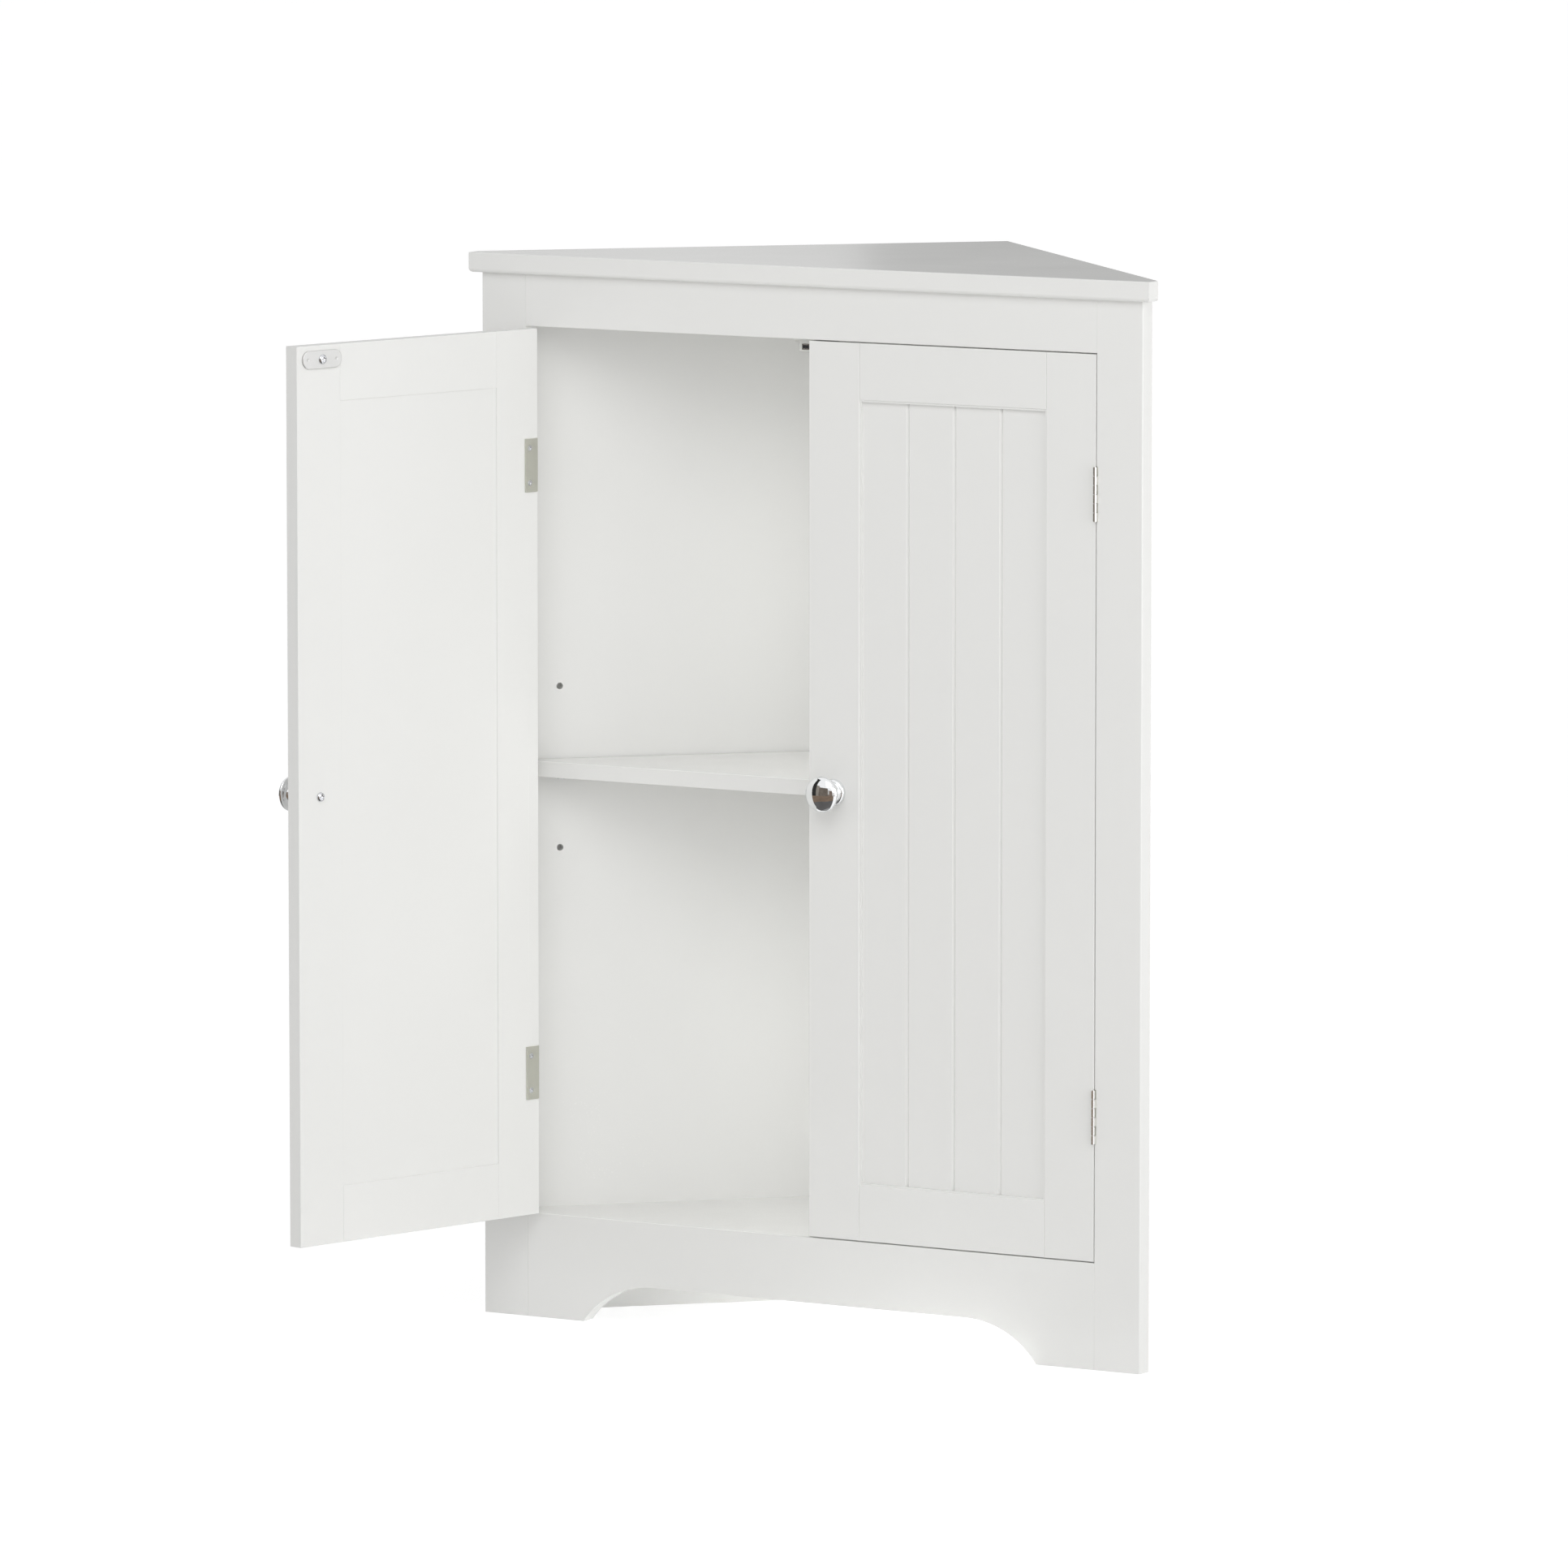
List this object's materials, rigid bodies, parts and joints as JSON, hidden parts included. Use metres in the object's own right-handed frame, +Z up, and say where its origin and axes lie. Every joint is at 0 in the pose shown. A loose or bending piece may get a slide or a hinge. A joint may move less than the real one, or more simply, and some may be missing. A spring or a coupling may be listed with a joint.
{
  "type": "corner bathroom cabinet",
  "caption": "Triangular corner cabinet with framed doors, grooved door panels, a loose shelf on pegs, an arched apron and an overhanging top.",
  "frame": {"origin": "rear corner at floor level, where the outer faces of the two side panels meet", "axes": "+X to the right along the front, +Y from the front to the room's corner, +Z up; the walls run from the origin along -X -Y and +X -Y"},
  "size_m": [0.6116, 0.5373, 0.8],
  "materials": {
    "painted_board": "white satin paint",
    "bare_wood": "unpainted beech",
    "polished_chrome": "polished",
    "hinge_steel": "satin plated",
    "zinc_steel": "zinc plated",
    "catch_plastic": "moulded",
    "ferrite": "sintered"
  },
  "bodies": {
    "cabinet": {"top_panel": "painted_board", "bottom_panel": "painted_board", "left_side_panel": "painted_board", "right_side_panel": "painted_board", "left_stile": "painted_board", "right_stile": "painted_board", "top_rail": "painted_board", "apron_rail": "painted_board", "left_corner_cleat": "painted_board", "right_corner_cleat": "painted_board", "frame_leaf_screws": "zinc_steel", "corner_screws": "zinc_steel", "catch_screws": "zinc_steel", "catch_pole_plates": "zinc_steel", "catch_magnets": "ferrite", "cam_bolts": "zinc_steel", "cam_nuts": "zinc_steel", "shelf_supports": "zinc_steel", "catch_housing": "catch_plastic", "frame_dowels": "bare_wood", "board_dowels": "bare_wood", "left_upper_frame_leaf": "hinge_steel", "left_upper_hinge_pin": "hinge_steel", "left_lower_frame_leaf": "hinge_steel", "left_lower_hinge_pin": "hinge_steel", "right_upper_frame_leaf": "hinge_steel", "right_upper_hinge_pin": "hinge_steel", "right_lower_frame_leaf": "hinge_steel", "right_lower_hinge_pin": "hinge_steel"},
    "shelf": {"adjustable_shelf": "painted_board"},
    "left_door": {"left_door_hinge_stile": "painted_board", "left_door_lock_stile": "painted_board", "left_door_top_rail": "painted_board", "left_door_bottom_rail": "painted_board", "left_door_panel": "painted_board", "left_upper_door_leaf": "hinge_steel", "left_lower_door_leaf": "hinge_steel", "left_door_leaf_screws": "zinc_steel", "left_knob": "polished_chrome", "left_knob_screw": "zinc_steel", "left_strike_plate": "zinc_steel", "left_strike_screw": "zinc_steel"},
    "right_door": {"right_door_hinge_stile": "painted_board", "right_door_lock_stile": "painted_board", "right_door_top_rail": "painted_board", "right_door_bottom_rail": "painted_board", "right_door_panel": "painted_board", "right_upper_door_leaf": "hinge_steel", "right_lower_door_leaf": "hinge_steel", "right_door_leaf_screws": "zinc_steel", "right_knob": "polished_chrome", "right_knob_screw": "zinc_steel", "right_strike_plate": "zinc_steel", "right_strike_screw": "zinc_steel"}
  },
  "joints": [
    {"name": "left_door_hinge", "type": "hinge", "parent": "cabinet", "child": "left_door", "pos_m": [-0.24345, -0.2975, 0.4], "axis": [0, 0, -1], "range_deg": [-104.7, 30.3]},
    {"name": "right_door_hinge", "type": "hinge", "parent": "cabinet", "child": "right_door", "pos_m": [0.24345, -0.2975, 0.4], "axis": [0, 0, 1], "range_deg": [0, 135]},
    {"name": "shelf_lift", "type": "slide", "parent": "cabinet", "child": "shelf", "axis": [0, 0, 1], "range_m": [0, 0.061]}
  ]
}
